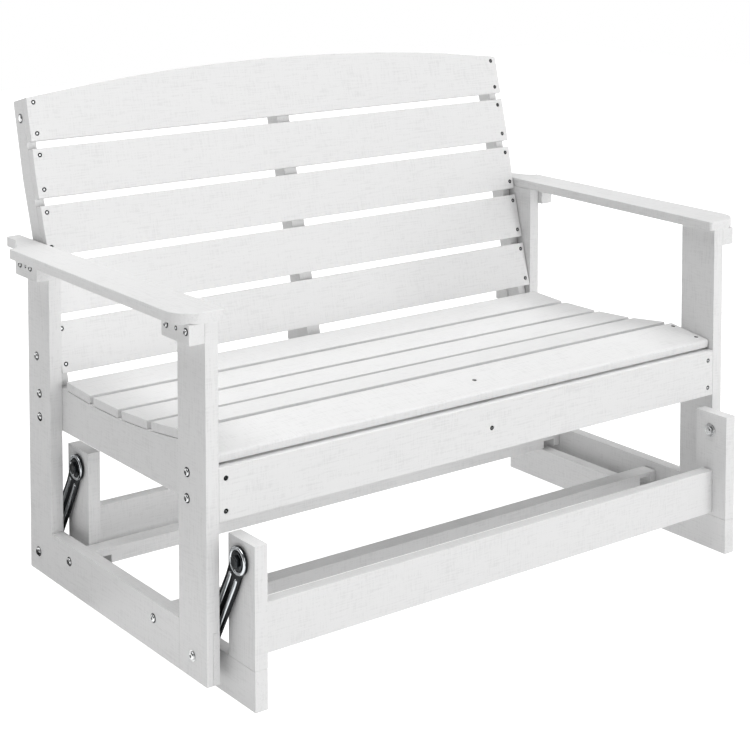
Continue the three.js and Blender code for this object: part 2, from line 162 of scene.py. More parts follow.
metalLook = {
    # the links' own dark plating, also put in screw heads and round bolt heads as painted shade
    "nickelAndShade": "#2A2C2E",
    "nickelAndShadeWorn": "#373A3C",
    "nickelAndShadeRoughness": 0.06,
    # the brighter metal below is a lighter copy of the links' plating, for their rims and ribs: painted highlight
    "paintedHighlightMetal": "#B4B7BA",
    "paintedHighlightMetalWorn": "#CBCED0",
    "paintedHighlightMetalRoughness": 0.04,
    "steel": "#B9BABB",
    "steelWorn": "#CCCDCD",
    "steelRoughness": 0.12,
    "cloudMm": 14.0,  # faint uneven patches of the plating
    "cloudDetail": 4.0,
    "colourSpan": (0.35, 0.7),  # strength of the clouds from plain to worn
    "roughSpan": (0.3, 0.7),
    "wornRougherBy": 0.08,
    "gritMm": 0.7,
    "gritDetail": 2.0,
    "gritStrength": 0.1,
    "gritBumpMm": 0.03,
}


def platedMetal(name, kind):
    # Pressed or turned steel with a thin bright plating: smooth, with faint cloudy wear
    look = metalLook
    plainAt, wornAt = look["colourSpan"]
    smoothAt, roughAt = look["roughSpan"]
    material, tree, shader = newMaterial(name, Metallic=1.0)
    place = addNode(tree, "ShaderNodeTexCoord").outputs["Object"]
    clouds = noise(tree, place, 1000 / look["cloudMm"], look["cloudDetail"])
    colour = ramp(tree, clouds, [(plainAt, srgb(look[kind])), (wornAt, srgb(look[kind + "Worn"]))])
    tree.links.new(colour, shader.inputs["Base Color"])
    low = look[kind + "Roughness"]
    rough = addNode(tree, "ShaderNodeMapRange", Value=clouds, i1=smoothAt, i2=roughAt,
                    i3=low, i4=low + look["wornRougherBy"])
    tree.links.new(rough.outputs[0], shader.inputs["Roughness"])
    grit = noise(tree, place, 1000 / look["gritMm"], look["gritDetail"])
    bump = addNode(tree, "ShaderNodeBump", Height=grit, Strength=look["gritStrength"],
                   Distance=look["gritBumpMm"] * mm)
    tree.links.new(bump.outputs[0], shader.inputs["Normal"])
    return material


lumber = {axis: polyLumber(f"brushed_polyethylene_lumber_{axis}", axis) for axis in "xyz"}
nickelAndShade = platedMetal("black_nickel_plate_and_painted_shade", "nickelAndShade")
paintedHighlightMetal = platedMetal("painted_highlight_metal_on_raised_edges", "paintedHighlightMetal")
steel = platedMetal("polished_stainless_steel", "steel")
print("materials made")


creaseDeg = 38  # edges sharper than this stay crisp
weldDist = 1e-6  # metres, within which vertices are one


def bodyOf(name):
    bodies = frame["record"]["behaviour"]["bodies"]
    return next(body for body, names in bodies.items() if name in names)


def newPiece(name, mesh, materials, body, replaced=None):
    # the mesh becomes an object with soft shading between its sharp edges
    data = bpy.data.meshes.new(name)
    mesh.to_mesh(data)
    mesh.free()
    data.polygons.foreach_set("use_smooth", [True] * len(data.polygons))
    data.set_sharp_from_angle(angle=math.radians(creaseDeg))
    for material in materials:
        data.materials.append(material)
    piece = bpy.data.objects.new(name, data)
    bpy.context.collection.objects.link(piece)
    weighted = piece.modifiers.new("weighted", "WEIGHTED_NORMAL")
    weighted.keep_sharp = True
    if replaced:
        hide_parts(replaced)
    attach(piece, body)


def onSurface(place, outward):
    # sets a small part on a surface, with its +Z along the outward direction
    return Matrix.Translation(place) @ Vector(outward).to_track_quat("Z", "Y").to_matrix().to_4x4()


def stamp(mesh, part, place, outward):
    # adds a template to a mesh, set on a surface
    older = set(mesh.verts)
    mesh.from_mesh(part)
    newer = [vert for vert in mesh.verts if vert not in older]
    bmesh.ops.transform(mesh, matrix=onSurface(place, outward), verts=newer)


def turned(mesh, profile, segments):
    # spins points of (radius, height) in millimetres once round the Z axis
    line = [mesh.verts.new((radius * mm, 0, height * mm)) for radius, height in profile]
    edges = [mesh.edges.new(pair) for pair in zip(line, line[1:])]
    bmesh.ops.spin(mesh, geom=line + edges, cent=(0, 0, 0), axis=(0, 0, 1), angle=2 * math.pi,
                   steps=segments, use_merge=True)
    bmesh.ops.remove_doubles(mesh, verts=mesh.verts, dist=weldDist)
    bmesh.ops.recalc_face_normals(mesh, faces=mesh.faces)


def template(name, mesh):
    # keeps a finished shape, to be stamped or shown
    data = bpy.data.meshes.new(name)
    mesh.to_mesh(data)
    mesh.free()
    return data


screwLook = {
    "headMm": 4.3,  # radius of the screw head
    "holeMm": 4.7,  # radius of the countersunk hole that it sits in
    "holeDepthMm": 3.4,
    "sinkMm": 0.3,  # how far the head lies below the board's face
    "proudMm": 0.8,  # how far a cleat's screw is set outward, as no hole is cut for it
    "edgeMm": 0.7,  # rounding round the head
    "starMm": 0.9,
    "starDepthMm": 0.3,
    "lobePull": 0.72,  # the star's inner corners lie this far out, as a share of its lobes
    "paintedShadeMm": 2.0,  # beyond this radius the head is painted dark: painted shade of its countersunk hole and a painted dark reflection
    "segments": 24,  # four for each lobe
}


def screwHead():
    # a trim-head screw with a six-lobed star socket
    look = screwLook
    mesh = bmesh.new()
    top = -look["sinkMm"]
    depth = look["holeDepthMm"] - look["sinkMm"]
    bmesh.ops.create_cone(mesh, cap_ends=True, segments=look["segments"],
                          radius1=look["headMm"] * mm, radius2=look["headMm"] * mm,
                          depth=depth * mm)
    bmesh.ops.translate(mesh, vec=(0, 0, (top - depth / 2) * mm), verts=mesh.verts)
    lid = max(mesh.faces, key=lambda face: face.calc_center_median().z)
    bmesh.ops.bevel(mesh, geom=list(lid.edges), offset=look["edgeMm"] * mm, segments=2,
                    profile=0.5, affect="EDGES", material=-1)
    lid = max(mesh.faces, key=lambda face: face.calc_center_median().z)
    flat = look["headMm"] - look["edgeMm"]
    for wide, narrow in ((flat, look["paintedShadeMm"]), (look["paintedShadeMm"], look["starMm"])):
        bmesh.ops.inset_region(mesh, faces=[lid], thickness=(wide - narrow) * mm,
                               use_even_offset=True)
    for index, vert in enumerate(lid.verts):
        if index % 4 in (0, 3):  # pulled in between the six lobes
            vert.co.x *= look["lobePull"]
            vert.co.y *= look["lobePull"]
    floor = bmesh.ops.extrude_discrete_faces(mesh, faces=[lid])["faces"][0]
    bmesh.ops.translate(mesh, vec=(0, 0, -look["starDepthMm"] * mm), verts=floor.verts)
    # the head's outer ring gets the dark metal: painted shade of its countersunk hole and a painted dark
    # reflection
    for face in mesh.faces:
        middle = face.calc_center_median()
        face.material_index = 1 if math.hypot(middle.x, middle.y) > look["paintedShadeMm"] * mm else 0
    return template("screw_head", mesh)


boltLook = {
    "capMm": 7.6,  # radius of the caps in the back uprights
    "capDomeMm": 2.4,
    "frameHeadMm": 6.6,  # radius of the round-headed bolts on the seat's side frames
    "cleatHeadMm": 4.8,
    "washerMm": 1.9,  # how far a washer shows round a head, painted dark as the head's shaded outline
    "washerThickMm": 0.4,
    "domeMm": 3.4,  # height of a round head
    "skirtShare": 0.22,  # the straight part of that height
    "socketMm": 2.9,  # half the width of the hexagon socket
    "socketDepthMm": 2.0,
    "domeStepsDeg": (15, 30, 45, 60, 75),
    "washerFromMm": 0.1,  # faces this far outside the head belong to its washer
    "segments": 24,
}


def roundBolt(radius, height, socketMm=boltLook["socketMm"]):
    # a button-head bolt: a low dome, with a hexagon socket if socketMm isn't 0
    look = boltLook
    mesh = bmesh.new()
    socket = socketMm / math.cos(math.radians(30))
    rim = radius + look["washerMm"]
    skirt = look["skirtShare"]
    dome = [(rim, 0), (rim, look["washerThickMm"]), (radius, look["washerThickMm"]),
            (radius, height * skirt)]
    for step in look["domeStepsDeg"]:
        angle = math.radians(step)
        dome.append((socket + (radius - socket) * math.cos(angle),
                     height * (skirt + (1 - skirt) * math.sin(angle))))
    floor = height - look["socketDepthMm"]
    dome += [(socket, height), (socket, floor), (0, floor)] if socket else [(0, height)]
    turned(mesh, dome, look["segments"])
    for vert in mesh.verts:
        reach = math.hypot(vert.co.x, vert.co.y)
        if abs(reach - socket * mm) < weldDist:  # the socket's round becomes a hexagon
            turn = math.degrees(math.atan2(vert.co.y, vert.co.x)) % 60 - 30
            share = math.cos(math.radians(30)) / math.cos(math.radians(turn))
            vert.co.x *= share
            vert.co.y *= share
    # the washer ring gets the dark metal: painted shade outlining the head
    for face in mesh.faces:
        middle = face.calc_center_median()
        washer = math.hypot(middle.x, middle.y) > (radius + look["washerFromMm"]) * mm
        face.material_index = 1 if washer else 0
    return template("round_bolt", mesh)


pivotLook = {
    "flangeMm": 16.0,  # radius of the collar on a pivot bolt's head
    "flangeThickMm": 1.5,
    "hexMm": 11.5,  # from the middle to a corner of the hexagon
    "headMm": 7.4,  # height of the head with its collar
    "nutFlangeMm": 13.5,  # the same three for the nut
    "nutHexMm": 8.8,
    "nutMm": 5.8,
    "footEdgeMm": 0.5,  # chamfer under a collar
    "rimEdgeMm": 0.6,  # and over it
    "coneMm": 0.5,  # rise of a collar from its rim to the hexagon
    "chamferMm": 0.7,  # of the hexagon's edges
    "stubMm": 4.6,  # radius of the bolt's end in the nut
    # out from that radius and up from the nut's top, in millimetres
    "stubProfile": ((0, -0.5), (0, 1.0), (-0.9, 1.8)),
    # share of the hexagon, and height over the head's top in millimetres
    "dishProfile": ((0.72, 0), (0.66, 0.45), (0.5, 0.2), (0, 0.05)),
    "headThickMm": 3.5,  # from the end of the frame's bolt to the foot of the head
    "nutThickMm": 5.0,
    "shankMm": 5.0,  # radius of the bolt between head and nut
    "shankSinkMm": 0.5,  # how far it reaches into the first of them
    "lowerEndMm": 7.5,  # radius of the round end of a lower bolt
    "lowerDomeMm": 4.2,
    "flangeSegments": 40,
    "dishSegments": 32,
    "shankSegments": 24,
}


def flangedHex(flange, thick, hexagon, height, stub):
    # a hexagon on a round collar, with chamfered corners and the bolt's end or a dish on top
    look = pivotLook
    foot, rim, top = look["footEdgeMm"], look["rimEdgeMm"], thick + look["coneMm"]
    mesh = bmesh.new()
    turned(mesh, [(0, 0), (flange - foot, 0), (flange, foot), (flange, thick - rim),
                  (flange - rim, thick), (hexagon, top), (0, top)], look["flangeSegments"])
    hexHeight = height - thick
    made = bmesh.ops.create_cone(mesh, cap_ends=True, segments=6, radius1=hexagon * mm,
                                 radius2=hexagon * mm, depth=hexHeight * mm)["verts"]
    bmesh.ops.translate(mesh, vec=(0, 0, (thick + hexHeight / 2) * mm), verts=made)
    edges = {edge for vert in made for edge in vert.link_edges}
    bmesh.ops.bevel(mesh, geom=list(edges), offset=look["chamferMm"] * mm, segments=2,
                    profile=0.5, affect="EDGES", material=-1)
    cap = bmesh.new()
    if stub:
        end = [(stub + out, height + up) for out, up in look["stubProfile"]]
        turned(cap, end + [(0, end[-1][1])], look["shankSegments"])
    else:
        turned(cap, [(hexagon * share, height + up) for share, up in look["dishProfile"]],
               look["dishSegments"])
    mesh.from_mesh(template("cap", cap))
    return template("flanged_hex", mesh)


screwPart = screwHead()
frameBolt = roundBolt(boltLook["frameHeadMm"], boltLook["domeMm"])
cleatBolt = roundBolt(boltLook["cleatHeadMm"], boltLook["domeMm"])
backCap = roundBolt(boltLook["capMm"], boltLook["capDomeMm"], 0)
pivotHead = flangedHex(pivotLook["flangeMm"], pivotLook["flangeThickMm"], pivotLook["hexMm"],
                       pivotLook["headMm"], 0)
pivotNut = flangedHex(pivotLook["nutFlangeMm"], pivotLook["flangeThickMm"], pivotLook["nutHexMm"],
                      pivotLook["nutMm"], pivotLook["stubMm"])
lowerEnd = roundBolt(pivotLook["lowerEndMm"], pivotLook["lowerDomeMm"])
print("fastener shapes made")

placing = {
    "leanDeg": 14.4,  # of the back
    "noseDeg": 7.7,  # fall of the front seat slat
    "backLowMm": 16.5,  # from a back slat's lower edge to its lower screw
    "backHighMm": 83.5,
    "topLowMm": 14.6,  # the same two for the top slat
    "topHighMm": 75.5,
    "backInsetMm": 9.5,  # from a back slat's end
    "seatInsetMm": 11.0,  # from the front seat slat's end
    "noseRowsMm": (16, 81),  # from its rear edge
    "noseMiddleMm": 52,
    "noseMiddleShiftMm": 10.7,  # the middle screw lies this far to the right
    "apronInsetMm": 13.7,  # from the apron's end
    "apronHeightsMm": (16.6, 72.6),  # above the apron's lower edge
    "apronMiddleMm": 45.1,
    "slatThickMm": 19,  # of a slat in the frame
}

screws = {}  # board name: its screws' places and outward directions


def leanPoint(corner, up, lean):
    # up a leaning face from its lower front edge
    return (corner[0], corner[1] + up * mm * math.sin(lean), corner[2] + up * mm * math.cos(lean))


def placeScrews():
    # the screws of the back slats, the front seat slat and the apron
    lean = math.radians(placing["leanDeg"])
    outward = (0, -math.cos(lean), math.sin(lean))
    thick = placing["slatThickMm"] * mm
    for number in range(1, 6):
        low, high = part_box(f"back_slat_{number}")
        heights = ("topLowMm", "topHighMm") if number == 1 else ("backLowMm", "backHighMm")
        reach = high.x - placing["backInsetMm"] * mm
        screws[f"back_slat_{number}"] = [
            (leanPoint((x, low.y, low.z + thick * math.sin(lean)), placing[key], lean), outward)
            for x in (-reach, reach) for key in heights]
    low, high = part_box("seat_slat_5")
    fall = math.radians(placing["noseDeg"])
    reach = high.x - placing["seatInsetMm"] * mm
    places = [(x, row) for x in (-reach, reach) for row in placing["noseRowsMm"]]
    places.append((placing["noseMiddleShiftMm"] * mm, placing["noseMiddleMm"]))
    screws["seat_slat_5"] = [
        ((x, high.y - thick * math.sin(fall) - row * mm * math.cos(fall),
          high.z - row * mm * math.sin(fall)),
         (0, -math.sin(fall), math.cos(fall))) for x, row in places]
    low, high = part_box("seat_apron")
    reach = high.x - placing["apronInsetMm"] * mm
    places = [(x, height) for x in (-reach, reach) for height in placing["apronHeightsMm"]]
    places.append((0, placing["apronMiddleMm"]))
    screws["seat_apron"] = [((x, low.y, low.z + height * mm), (0, -1, 0)) for x, height in places]


placeScrews()

boardLook = {
    "longEdgeMm": 1.4,  # radius of the edges along a board
    "longSegments": 3,
    "endEdgeMm": 0.6,  # radius around a sawn end
    "endSegments": 2,
    "flatDeg": 1,  # faces that turn by less than this are joined
    "roundedDeg": 40,  # edges sharper than this are rounded
    "alongDeg": 20,  # an edge within this angle of the grain runs along the board
    "backWidenMm": 5.0,  # how far the back spreads at its top
    "widenFromMm": 660,  # height at which it starts to spread
    "widenOverMm": 110,
    "middleMm": 100,  # nearer than this to the middle, nothing spreads
    "slatThickMm": 16.0,  # of the seat's slats, instead of the frame's 19
    "railFootMm": 20,  # a rail below this height above its foot doesn't move with its top
    "crossRailDropMm": 6.0,  # the front cross rail's top lies this much lower than the frame's
}


def grainAxis(name):
    # the number of the axis that a board is longest on
    low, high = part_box(name)
    size = list(high - low)
    return size.index(max(size))


def mergedCopy(name):
    # the node's own mesh, with its flat faces made whole again
    mesh = bmesh.new()
    mesh.from_mesh(nodes[name].data)
    bmesh.ops.remove_doubles(mesh, verts=mesh.verts, dist=weldDist)
    bmesh.ops.dissolve_limit(mesh, angle_limit=math.radians(boardLook["flatDeg"]),
                             verts=mesh.verts, edges=mesh.edges)
    return mesh


def roundEdges(mesh, radius, segments, chosen):
    sharp = [edge for edge in mesh.edges if len(edge.link_faces) == 2 and edge.is_convex
             and edge.calc_face_angle() > math.radians(boardLook["roundedDeg"]) and chosen(edge)]
    bmesh.ops.bevel(mesh, geom=sharp, offset=radius * mm, offset_type="OFFSET", segments=segments,
                    profile=0.5, affect="EDGES", material=-1, clamp_overlap=True)


def drilled(mesh, places):
    # the screws' countersunk holes, cut out of a board
    look = screwLook
    drill = bmesh.new()
    for place, outward in places:
        bmesh.ops.create_cone(drill, cap_ends=True, segments=look["segments"],
                              radius1=look["holeMm"] * mm, radius2=look["holeMm"] * mm,
                              depth=2 * look["holeDepthMm"] * mm,
                              matrix=onSurface(place, outward))
    whole = [bpy.data.objects.new(name, template(name, part))
             for name, part in (("board", mesh), ("drill", drill))]
    for item in whole:
        bpy.context.collection.objects.link(item)
    cut = whole[0].modifiers.new("cut", "BOOLEAN")
    cut.operation = "DIFFERENCE"
    cut.solver = "EXACT"
    cut.object = whole[1]
    graph = bpy.context.evaluated_depsgraph_get()
    result = bmesh.new()
    result.from_object(whole[0], graph)
    for item in whole:
        bpy.data.objects.remove(item)
    return result


def spread(mesh):
    # the back grows a little wider towards its top
    look = boardLook
    start = look["widenFromMm"]
    for height in (start, start + look["widenOverMm"]):
        bmesh.ops.bisect_plane(mesh, geom=mesh.verts[:] + mesh.edges[:] + mesh.faces[:],
                               plane_co=(0, 0, height * mm), plane_no=(0, 0, 1))
    for vert in mesh.verts:
        share = min(1, max(0, (vert.co.z / mm - start) / look["widenOverMm"]))
        if abs(vert.co.x) > look["middleMm"] * mm:
            vert.co.x += math.copysign(look["backWidenMm"] * mm * share, vert.co.x)


def thinned(mesh):
    # a seat slat gets thinner below, and its top stays
    upward = [face for face in mesh.faces if face.normal.z > 0.5]
    top = max(upward, key=lambda face: face.calc_area())
    up, level = top.normal.copy(), top.verts[0].co.copy()
    keep = boardLook["slatThickMm"] / placing["slatThickMm"]
    for vert in mesh.verts:
        vert.co += up * (vert.co - level).dot(up) * (keep - 1)


def topMoved(mesh, riseMm):
    # a rail's top goes up or down, and its foot stays
    foot = min(vert.co.z for vert in mesh.verts)
    for vert in mesh.verts:
        if vert.co.z > foot + boardLook["railFootMm"] * mm:
            vert.co.z += riseMm * mm


def roundedBoard(name):
    # the frame's own board with the softly rounded edges of milled lumber
    look = boardLook
    axis = grainAxis(name)
    allRound = name.endswith("_armrest")

    def runsAlong(edge):
        direction = (edge.verts[1].co - edge.verts[0].co).normalized()
        return allRound or abs(direction[axis]) > math.cos(math.radians(look["alongDeg"]))

    mesh = mergedCopy(name)
    if "_back_upright" in name or name.startswith("back_slat"):
        spread(mesh)
    if name.startswith("seat_slat"):
        thinned(mesh)
    if name in ("left_seat_rail", "centre_seat_rail", "right_seat_rail"):
        topMoved(mesh, placing["slatThickMm"] - look["slatThickMm"])
    if name == "front_cross_rail":
        topMoved(mesh, -look["crossRailDropMm"])
    roundEdges(mesh, look["longEdgeMm"], look["longSegments"], runsAlong)
    if not allRound:
        roundEdges(mesh, look["endEdgeMm"], look["endSegments"], lambda edge: True)
    if name in screws:
        mesh = drilled(mesh, screws[name])
    newPiece(name + "_board", mesh, [lumber["xyz"[axis]]], bodyOf(name), name)


metalNodes = [name for name in nodes if name.endswith(("_link", "_bolt", "_washer"))]
boards = [name for name in nodes if name not in metalNodes]
for name in boards:
    roundedBoard(name)
print("boards rounded:", len(boards))


def fasteners(name, part, places):
    # one piece of many like screws or bolts
    mesh = bmesh.new()
    for place, outward in places:
        stamp(mesh, part, place, outward)
    newPiece(name, mesh, [steel, nickelAndShade], "seat")


fasteners("back_screws", screwPart,
          [spot for number in range(1, 6) for spot in screws[f"back_slat_{number}"]])
fasteners("front_slat_screws", screwPart, screws["seat_slat_5"])
fasteners("apron_screws", screwPart, screws["seat_apron"])

sideLook = {
    # (distance to the back, height) in millimetres of the round bolts on the outer faces
    "frameBolts": ((276.7, 447.2), (266.8, 376.6), (266.3, 331.6), (-277.3, 375.0), (-276.7, 330.2),
                   (151.6, 84.8), (-160.3, 84.3)),
    "backCap": (378.5, 890.4),  # over the hanging hole of a back upright
    "cleatInsetsMm": {"front": (10, 73), "rear": (26, 68)},  # from a cleat's front end
    "cleatDropMm": {"front": 12, "rear": 11.5},  # below the arm
}


def sideBolts():
    # the bolts of the side frames and arm cleats, and the caps of the back uprights
    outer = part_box("right_front_post")[1].x
    spots = [((side * outer, y * mm, z * mm), (side, 0, 0))
             for _, side in sides for y, z in sideLook["frameBolts"]]
    fasteners("side_frame_bolts", frameBolt, spots)
    capY, capZ = sideLook["backCap"]
    caps = []
    for word, side in sides:
        low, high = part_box(f"{word}_back_upright")
        reach = max(abs(low.x), abs(high.x)) + boardLook["backWidenMm"] * mm
        caps.append(((side * reach, capY * mm, capZ * mm), (side, 0, 0)))
    fasteners("back_upright_caps", backCap, caps)
    bolts = []
    plugs = []
    for word, side in sides:
        for end in ends:
            low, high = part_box(f"{word}_{end}_arm_cleat")
            insets = sideLook["cleatInsetsMm"][end]
            height = high.z - sideLook["cleatDropMm"][end] * mm
            face = max(abs(low.x), abs(high.x)) * side
            bolts += [((face, low.y + inset * mm, height), (side, 0, 0)) for inset in insets]
            plugs.append(((face + side * screwLook["proudMm"] * mm,
                           low.y + sum(insets) / 2 * mm, height), (side, 0, 0)))
    fasteners("arm_cleat_bolts", cleatBolt, bolts)
    fasteners("arm_cleat_screws", screwPart, plugs)


sideBolts()
print("screws and side bolts set")


def pivotBolts():
    # each pivot bolt with its flanged head, shank, and nut or round end
    look = pivotLook
    headThick, nutThick = look["headThickMm"], look["nutThickMm"]
    for word, side in sides:
        for end in ends:
            for level in ("upper", "lower"):
                name = f"{word}_{end}_{level}_bolt"
                low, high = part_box(name)
                centre = (low + high) / 2
                inner, outer = (low.x, high.x) if side > 0 else (high.x, low.x)
                mesh = bmesh.new()
                shank = bmesh.new()
                shankEnd = abs(outer - inner) / mm - headThick - nutThick
                turned(shank, [(look["shankMm"], -look["shankSinkMm"]),
                               (look["shankMm"], shankEnd)], look["shankSegments"])
                if level == "upper":
                    headAt, headWay = outer - side * headThick * mm, side
                    nutAt, nutWay = inner + side * nutThick * mm, -side
                    stamp(mesh, pivotNut, (nutAt, centre.y, centre.z), (nutWay, 0, 0))
                else:
                    headAt, headWay = inner + side * headThick * mm, -side
                    nutAt, nutWay = outer - side * nutThick * mm, side
                    stamp(mesh, lowerEnd, (nutAt, centre.y, centre.z), (nutWay, 0, 0))
                stamp(mesh, pivotHead, (headAt, centre.y, centre.z), (headWay, 0, 0))
                start = min(headAt, nutAt)
                stamp(mesh, template("shank", shank), (start, centre.y, centre.z), (1, 0, 0))
                for face in mesh.faces:
                    middle = face.calc_center_median().x
                    face.material_index = 1 if (middle - nutAt) * nutWay > 0 else 0
                newPiece(name + "_turned", mesh, [nickelAndShade, steel], bodyOf(name), name)


pivotBolts()
print("pivot bolts made")

linkLook = {
    "eyeMm": 25.0,  # radius of the upper eye
    "footMm": 21.0,  # and of the lower one
    "shankMm": 19.0,  # half the width between the eyes
    "thickMm": 4.0,
    "neckMm": 9.0,  # softening where the shank meets an eye
    "neckDeg": 20,  # inner corners sharper than this are softened
    "neckSegments": 8,
    "arcSegments": 36,
    "edgeMm": 1.4,
    "edgeSegments": 3,
    "bendInsetMm": 44.0,  # from an eye's middle to the bend beside it
    "bendCutsMm": (-8, -4, 0, 4, 8),
    "bendSoftness": 0.25,  # share of the bend that eases in and out
    "bendMm": 10.0,  # how far the lower eye lies outside the upper one
    "ribMm": 4.0,  # half the width of a pressed rib
    "ribHeightMm": 1.5,
    "ribSpreadMm": 9.5,  # from the strap's middle line
    "ribInsetMm": 31.0,  # from an eye's middle to the rib's end
    "ribSegments": (20, 12),  # round the ball that a rib is made of, and up it
    "rimWidthMm": 6.4,
    "rimHeightMm": 2.6,
    "rimInsetMm": 0.6,  # from the eye's edge
    "rimSinkMm": 0.4,  # so that no gap shows under the rim
    "rimSteps": 8,  # over the half-round
    "rimSegments": 48,
}


def arc(mesh, radius, height, start, sweep):
    # a row of edges round an eye, in the plane of the plate
    first = mesh.verts.new((0, radius * mm * math.cos(start),
                            (height + radius * math.sin(start)) * mm))
    bmesh.ops.spin(mesh, geom=[first], cent=(0, 0, height * mm), axis=(1, 0, 0), angle=sweep,
                   steps=linkLook["arcSegments"])


def plate(length):
    # the flat strap: two eyes and the shank between them, with softened necks
    look = linkLook
    mesh = bmesh.new()
    quarter = math.pi / 2
    for radius, height, start in ((look["eyeMm"], 0, -1), (look["footMm"], -length, 1)):
        neck = math.asin(look["shankMm"] / radius)
        arc(mesh, radius, height, start * quarter + neck, 2 * math.pi - 2 * neck)
    tips = [vert for vert in mesh.verts if len(vert.link_edges) == 1]
    for sign in (-1, 1):
        mesh.edges.new([vert for vert in tips if vert.co.y * sign > 0])
    face = bmesh.ops.contextual_create(mesh, geom=mesh.edges[:])["faces"][0]
    pushed = bmesh.ops.extrude_face_region(mesh, geom=[face])["geom"]
    bmesh.ops.translate(mesh, vec=(look["thickMm"] * mm, 0, 0),
                        verts=[item for item in pushed if isinstance(item, bmesh.types.BMVert)])
    bmesh.ops.recalc_face_normals(mesh, faces=mesh.faces)
    necks = [edge for edge in mesh.edges
             if not edge.is_convex and edge.calc_face_angle() > math.radians(look["neckDeg"])]
    bmesh.ops.bevel(mesh, geom=necks, offset=look["neckMm"] * mm, segments=look["neckSegments"],
                    profile=0.5, affect="EDGES", material=-1)
    roundEdges(mesh, look["edgeMm"], look["edgeSegments"], lambda edge: True)
    return mesh


def rib(mesh, middle, length):
    # a long low half-round, stretched out of a ball
    look = linkLook
    around, upward = look["ribSegments"]
    made = bmesh.ops.create_uvsphere(mesh, u_segments=around, v_segments=upward,
                                     radius=look["ribMm"] * mm)["verts"]
    straight = length / 2 - look["ribInsetMm"] - look["ribMm"]
    for vert in made:
        vert.co.x *= look["ribHeightMm"] / look["ribMm"]
        vert.co.z += math.copysign(straight * mm, vert.co.z)
    bmesh.ops.translate(mesh, vec=(look["thickMm"] * mm, middle * mm, -length / 2 * mm), verts=made)


def rimPart(radius):
    # the raised half-round rim of an eye
    look = linkLook
    half = look["rimWidthMm"] / 2
    middle = radius - half - look["rimInsetMm"]
    mesh = bmesh.new()
    profile = [(middle - half, -look["rimSinkMm"])]
    for step in range(look["rimSteps"] + 1):
        angle = math.pi * (1 - step / look["rimSteps"])
        profile.append((middle + half * math.cos(angle), look["rimHeightMm"] * math.sin(angle)))
    profile.append((middle + half, -look["rimSinkMm"]))
    turned(mesh, profile, look["rimSegments"])
    return template("rim", mesh)


def bent(mesh, length):
    # cuts across the strap, and then an even slope between the two eyes
    look = linkLook
    inset, soften = look["bendInsetMm"], look["bendSoftness"]
    for middle in (-inset, inset - length):
        for offset in look["bendCutsMm"]:
            bmesh.ops.bisect_plane(mesh, geom=mesh.verts[:] + mesh.edges[:] + mesh.faces[:],
                                   plane_co=(0, 0, (middle + offset) * mm), plane_no=(0, 0, 1))
    for vert in mesh.verts:
        share = min(1, max(0, (-vert.co.z / mm - inset) / (length - 2 * inset)))
        soft = share * share * (3 - 2 * share)
        vert.co.x += look["bendMm"] * mm * ((1 - soften) * share + soften * soft)


def swingLinks():
    # each strap is built hanging straight down, then bent and turned to its place
    look = linkLook
    for joint in frame["joints"]:
        name = joint["child"]
        if not name.endswith("_link"):
            continue
        side = 1 if name.startswith("right") else -1
        upper = Vector(joint["pos_m"])
        low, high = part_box(name.replace("_link", "_lower_bolt"))
        reach = (low + high) / 2 - upper
        length = math.hypot(reach.y, reach.z) / mm
        mesh = plate(length)
        flat = set(mesh.faces)
        for middle in (-look["ribSpreadMm"], look["ribSpreadMm"]):
            rib(mesh, middle, length)
        stamp(mesh, rimPart(look["eyeMm"]), (look["thickMm"] * mm, 0, 0), (1, 0, 0))
        stamp(mesh, rimPart(look["footMm"]), (0, 0, -length * mm), (-1, 0, 0))
        # the rims and ribs get the brighter metal, a painted highlight on the raised parts of the pressed strap
        for face in mesh.faces:
            face.material_index = 0 if face in flat else 1
        bent(mesh, length)
        low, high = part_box(name)
        innerX = min(abs(low.x), abs(high.x))
        swing = Matrix.Rotation(math.atan2(reach.y, -reach.z), 4, "X")
        place = Matrix.Translation((side * innerX, upper.y, upper.z))
        mirror = Matrix.Diagonal((side, 1, 1, 1))
        bmesh.ops.transform(mesh, matrix=place @ swing @ mirror, verts=mesh.verts)
        bmesh.ops.recalc_face_normals(mesh, faces=mesh.faces)
        newPiece(name + "_pressed", mesh, [nickelAndShade, paintedHighlightMetal], name, name)


swingLinks()
for name in metalNodes:  # for the washers; pieces stand for the links and bolts by now
    data = nodes[name].data
    data.materials.clear()
    data.materials.append(steel)
print("swing links made")

stageLook = {
    "floorTone": "#8C8C8C",
    "floorGlow": 0.75,  # it lights the bench from below
    "whiteGlow": 0.3,  # makes the floor a plain white in the picture and in the metal
    "floorSize": 14.0,
    "floorRoughness": 0.95,
}


def grey(level):
    return (level, level, level, 1.0)


def stagePlane(name, size, place, turn, shader):
    # a flat sheet, turned about X in degrees
    mesh = bmesh.new()
    bmesh.ops.create_grid(mesh, x_segments=1, y_segments=1, size=0.5)
    turning = Matrix.Rotation(math.radians(turn), 4, "X")
    placed = Matrix.Translation(place) @ turning @ Matrix.Diagonal((*size, 1, 1))
    bmesh.ops.transform(mesh, matrix=placed, verts=mesh.verts)
    plane = bpy.data.objects.new(name, template(name, mesh))
    bpy.context.collection.objects.link(plane)
    plane.data.materials.append(shader)
    return plane


def whiteFloor():
    # a matt floor with a glow, stronger for the camera and in polished metal
    look = stageLook
    paint, tree, shader = newMaterial("studio_floor", Roughness=look["floorRoughness"],
                                      Specular_IOR_Level=0.0)
    shader.inputs["Base Color"].default_value = srgb(look["floorTone"])
    shader.inputs["Emission Color"].default_value = grey(1.0)
    rays = addNode(tree, "ShaderNodeLightPath")
    shown = math2(tree, "MAXIMUM", rays.outputs["Is Camera Ray"], rays.outputs["Is Glossy Ray"])
    glow = math2(tree, "MULTIPLY_ADD", shown, look["whiteGlow"], look["floorGlow"])
    tree.links.new(glow, shader.inputs["Emission Strength"])
    stagePlane("floor", (look["floorSize"],) * 2, (0, 0, 0), 0, paint)


whiteFloor()

